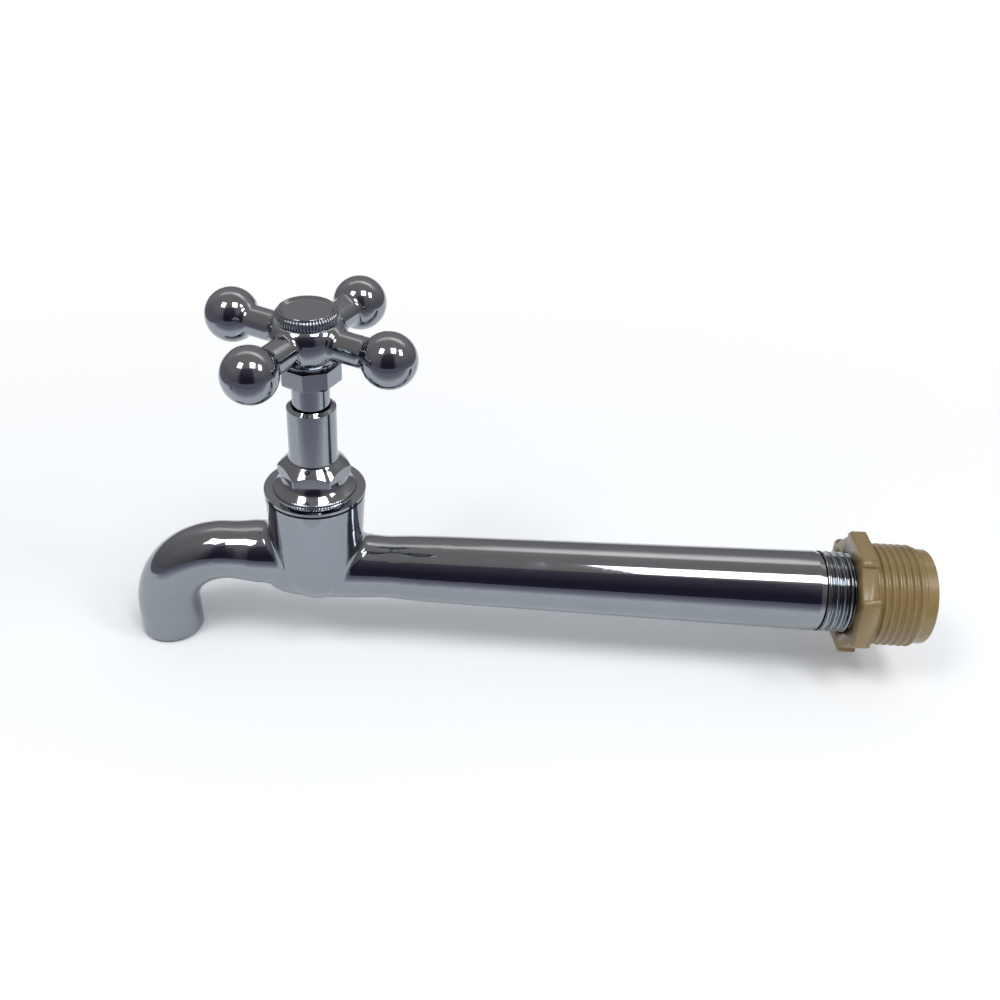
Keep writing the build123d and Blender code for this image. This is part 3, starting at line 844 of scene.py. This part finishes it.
def floor():
    """Pale floor that holds the tap's shadow and goes over to plain white away from it."""
    signs = ((-1, -1), (1, -1), (1, 1), (-1, 1))
    mesh = flat_mesh("floor", [(x * FLOOR_SIZE, y * FLOOR_SIZE, FLOOR_LEVEL) for x, y in signs])
    piece = bpy.data.objects.new("floor", mesh)
    bpy.context.scene.collection.objects.link(piece)
    material, tree, shader = new_material("floor paper")
    shader.inputs["Roughness"].default_value = 0.9
    shader.inputs["Specular IOR Level"].default_value = 0.0
    shader.inputs["Base Color"].default_value = (0.94, 0.95, 0.96, 1)
    long_stretch = 0.55
    shadow_end, white_start = 0.07, 0.24
    away = tree.nodes.new("ShaderNodeVectorMath")
    away.operation = "DISTANCE"
    tree.links.new(object_place(tree, (long_stretch, 1, 1)), away.inputs[0])
    away.inputs[1].default_value = (long_stretch * MIDDLE.x, MIDDLE.y, FLOOR_LEVEL)
    far = scaled(tree, away.outputs["Value"], 0.0, 1.0, shadow_end, white_start, "SMOOTHSTEP")
    white = tree.nodes.new("ShaderNodeEmission")
    white.inputs["Color"].default_value = (1, 1, 1, 1)
    surface = mixed_shaders(tree, far, shader.outputs["BSDF"], white.outputs[0])
    tree.links.new(surface, tree.nodes["Material Output"].inputs["Surface"])
    mesh.materials.append(material)


def card(mesh):
    """Glowing surface that shows in reflections only: its shader tree and its glow."""
    material = bpy.data.materials.new(mesh.name)
    material.use_nodes = True
    tree = material.node_tree
    tree.nodes.clear()
    glow = tree.nodes.new("ShaderNodeEmission")
    output = tree.nodes.new("ShaderNodeOutputMaterial")
    tree.links.new(glow.outputs[0], output.inputs["Surface"])
    mesh.materials.append(material)
    piece = bpy.data.objects.new(mesh.name, mesh)
    bpy.context.scene.collection.objects.link(piece)
    for way in ("camera", "diffuse", "transmission", "volume_scatter", "shadow"):
        setattr(piece, "visible_" + way, False)
    return tree, glow


def room():
    """Dome seen only in reflections, painted grey above and darker in front, with a painted lamp streak
    under its ceiling.
    """
    shape = bmesh.new()
    bmesh.ops.create_uvsphere(shape, u_segments=48, v_segments=24, radius=ROOM_SIZE)
    mesh = bpy.data.meshes.new("room")
    shape.to_mesh(mesh)
    shape.free()
    mesh.transform(Matrix.Translation(MIDDLE))
    tree, glow = card(mesh)
    place = object_place(tree)
    axes = axes_of(tree, place)
    shares = {axis: scaled(tree, axes[axis], 0.0, 1.0, -ROOM_SIZE, ROOM_SIZE) for axis in "XYZ"}
    to_back = (
        (0.0, (0.23, 0.215, 0.235)),
        (0.3, (0.38, 0.345, 0.34)),
        (0.56, (0.38, 0.35, 0.34)),
        (0.8, (0.52, 0.49, 0.47)),
        (0.92, (0.46, 0.425, 0.435)),
    )
    upward = (
        (0.0, (0.4, 0.4, 0.4)),
        (0.5, (0.6, 0.6, 0.63)),
        (0.75, (1.0, 1.0, 1.0)),
        (1.0, (1.15, 1.15, 1.12)),
    )
    painted_room_glow = mixed(tree, "MULTIPLY", ramp(tree, shares["Y"], to_back), ramp(tree, shares["Z"], upward))

    # The painted lamp streak lies in a plane through the middle that leans to the back
    off_lamp = tree.nodes.new("ShaderNodeVectorMath")
    off_lamp.operation = "DOT_PRODUCT"
    off_lamp.inputs[1].default_value = (0, 0.427, -0.26)  # across that plane
    tree.links.new(place, off_lamp.inputs[0])
    across_lamp = math_node(tree, "ABSOLUTE", off_lamp.outputs["Value"])
    across = ((0.05, (1.33, 1.24, 1.13)), (0.09, (0.8, 0.75, 0.68)), (0.16, 0.0))
    along = ((0.15, 0.0), (0.25, 0.5), (0.44, 0.6), (0.54, 1.0), (0.7, 0.9), (0.85, 0.0))
    # painted highlight: a lamp streak that shows only in reflections and lights nothing
    lamp = mixed(tree, "MULTIPLY", ramp(tree, across_lamp, across), ramp(tree, shares["X"], along))
    tree.links.new(mixed(tree, "ADD", painted_room_glow, lamp), glow.inputs["Color"])


def front_card():
    """Dark card behind the camera that shows only in reflections: a painted dark reflection, lighter at
    the top and fading out at its sides.
    """
    corners = [
        (-0.75, -0.9, -0.02),
        (0.45, -0.9, -0.02),
        (0.42, -0.8, 1.0),
        (0.1, -0.8, 1.15),
        (-0.3, -0.8, 1.15),
        (-0.6, -0.8, 0.8),
    ]
    tree, glow = card(flat_mesh("front card", corners))
    place = axes_of(tree, object_place(tree))
    # painted reflection: dark at the bottom, lighter towards the top
    tones = ((0.3, (0.04, 0.033, 0.058)), (0.95, (0.13, 0.11, 0.14)))
    middle_x = -0.12
    solid_half, clear_half = 0.36, 0.57
    haze_start, haze_full, top_haze = 0.98, 1.0, 1 / 7
    tree.links.new(ramp(tree, place["Z"], tones), glow.inputs["Color"])
    from_middle = math_node(tree, "ABSOLUTE", math_node(tree, "SUBTRACT", place["X"], middle_x))
    sides = scaled(tree, from_middle, 0.0, 1.0, solid_half, clear_half)
    top = scaled(tree, place["Z"], 0.0, top_haze, haze_start, haze_full)
    see_through = math_node(tree, "MAXIMUM", sides, top)
    clear = tree.nodes.new("ShaderNodeBsdfTransparent")
    surface = mixed_shaders(tree, see_through, glow.outputs[0], clear.outputs[0])
    tree.links.new(surface, tree.nodes["Material Output"].inputs["Surface"])


def table():
    """Sheet seen only in reflections: painted paper with painted shade that greys it towards the front,
    and a darker painted table round it.
    """
    inner = [(-0.36, -0.06), (0.18, -0.06), (0.18, 0.35), (-0.36, 0.35)]
    outer = [(-1.9, -1.9), (1.9, -1.9), (1.9, 1.9), (-1.9, 1.9)]
    corners = [(x, y, FLOOR_LEVEL + 0.5 * MM) for x, y in inner + outer]
    round_hole = [(0, 4, 5, 1), (1, 5, 6, 2), (2, 6, 7, 3), (3, 7, 4, 0)]
    tree, glow = card(flat_mesh("table", corners, round_hole))
    place = axes_of(tree, object_place(tree))
    painted_table_tone = (0.25, 0.24, 0.3)
    back_y, front_y = 0.06, -0.26
    paper_half, table_half = 0.27, 0.31
    # painted shade: the reflected paper greys towards the front, then goes over to the painted table
    painted_shade_to_front = (
        (0.36, (0.92, 0.92, 0.95)),
        (0.5, (0.46, 0.45, 0.5)),
        (0.62, (0.36, 0.35, 0.42)),
        (0.8, (0.34, 0.34, 0.42)),
        (0.84, painted_table_tone),
    )
    towards_front = scaled(tree, place["Y"], 0.0, 1.0, back_y, front_y)
    paper = ramp(tree, towards_front, painted_shade_to_front)
    from_middle = math_node(tree, "ABSOLUTE", math_node(tree, "SUBTRACT", place["X"], MIDDLE.x))
    beside_paper = scaled(tree, from_middle, 0.0, 1.0, paper_half, table_half, "SMOOTHSTEP")
    tree.links.new(mixed(tree, "MIX", paper, painted_table_tone, beside_paper), glow.inputs["Color"])


WINDOW_DISTANCE = 1.1
WINDOW_GLOW = 9.0


def window(name, azimuth, elevation, turn, wide, high):
    """Window pane as a soft lamp: its direction from the tap in degrees, and its width and height.

    The sizes are those that it would have at 1 m.
    """
    a, e = math.radians(azimuth), math.radians(elevation)
    outward = Vector((math.sin(a) * math.cos(e), -math.cos(a) * math.cos(e), math.sin(e)))
    level = Vector((0, 0, 1)).cross(outward).normalized()
    upright = outward.cross(level)
    side = level * math.cos(math.radians(turn)) + upright * math.sin(math.radians(turn))
    top = outward.cross(side)
    data = bpy.data.lights.new(name, "AREA")
    data.shape = "RECTANGLE"
    data.size = wide * WINDOW_DISTANCE
    data.size_y = high * WINDOW_DISTANCE
    data.energy = WINDOW_GLOW * math.pi * data.size * data.size_y
    pane = bpy.data.objects.new(name, data)
    at = MIDDLE + outward * WINDOW_DISTANCE
    pane.matrix_world = Matrix((
        (side.x, top.x, outward.x, at.x),
        (side.y, top.y, outward.y, at.y),
        (side.z, top.z, outward.z, at.z),
        (0, 0, 0, 1),
    ))
    bpy.context.scene.collection.objects.link(pane)


def soft_world():
    """World that is white to the camera and to reflections, and soft light to everything else."""
    world = bpy.data.worlds.new("studio")
    bpy.context.scene.world = world
    world.use_nodes = True
    tree = world.node_tree
    tree.nodes.clear()
    ray = tree.nodes.new("ShaderNodeLightPath").outputs
    mirrored = math_node(tree, "MAXIMUM", ray["Is Glossy Ray"], ray["Is Transmission Ray"])
    seen = math_node(tree, "MAXIMUM", ray["Is Camera Ray"], mirrored)
    soft = tree.nodes.new("ShaderNodeBackground")
    soft.inputs["Color"].default_value = (0.93, 0.96, 1.0, 1)
    soft.inputs["Strength"].default_value = 0.55
    white = tree.nodes.new("ShaderNodeBackground")
    white.inputs["Color"].default_value = (1, 1, 1, 1)
    output = tree.nodes.new("ShaderNodeOutputWorld")
    surface = mixed_shaders(tree, seen, soft.outputs[0], white.outputs[0])
    tree.links.new(surface, output.inputs["Surface"])


floor()
room()
front_card()
table()
window("left window", -50, 55, 22, 0.27, 0.32)
window("middle window", 38, 64, -25, 0.31, 0.35)
window("right window", 72, 45, -37, 0.2, 0.34)
soft_world()

bpy.context.scene.view_settings.view_transform = "Standard"
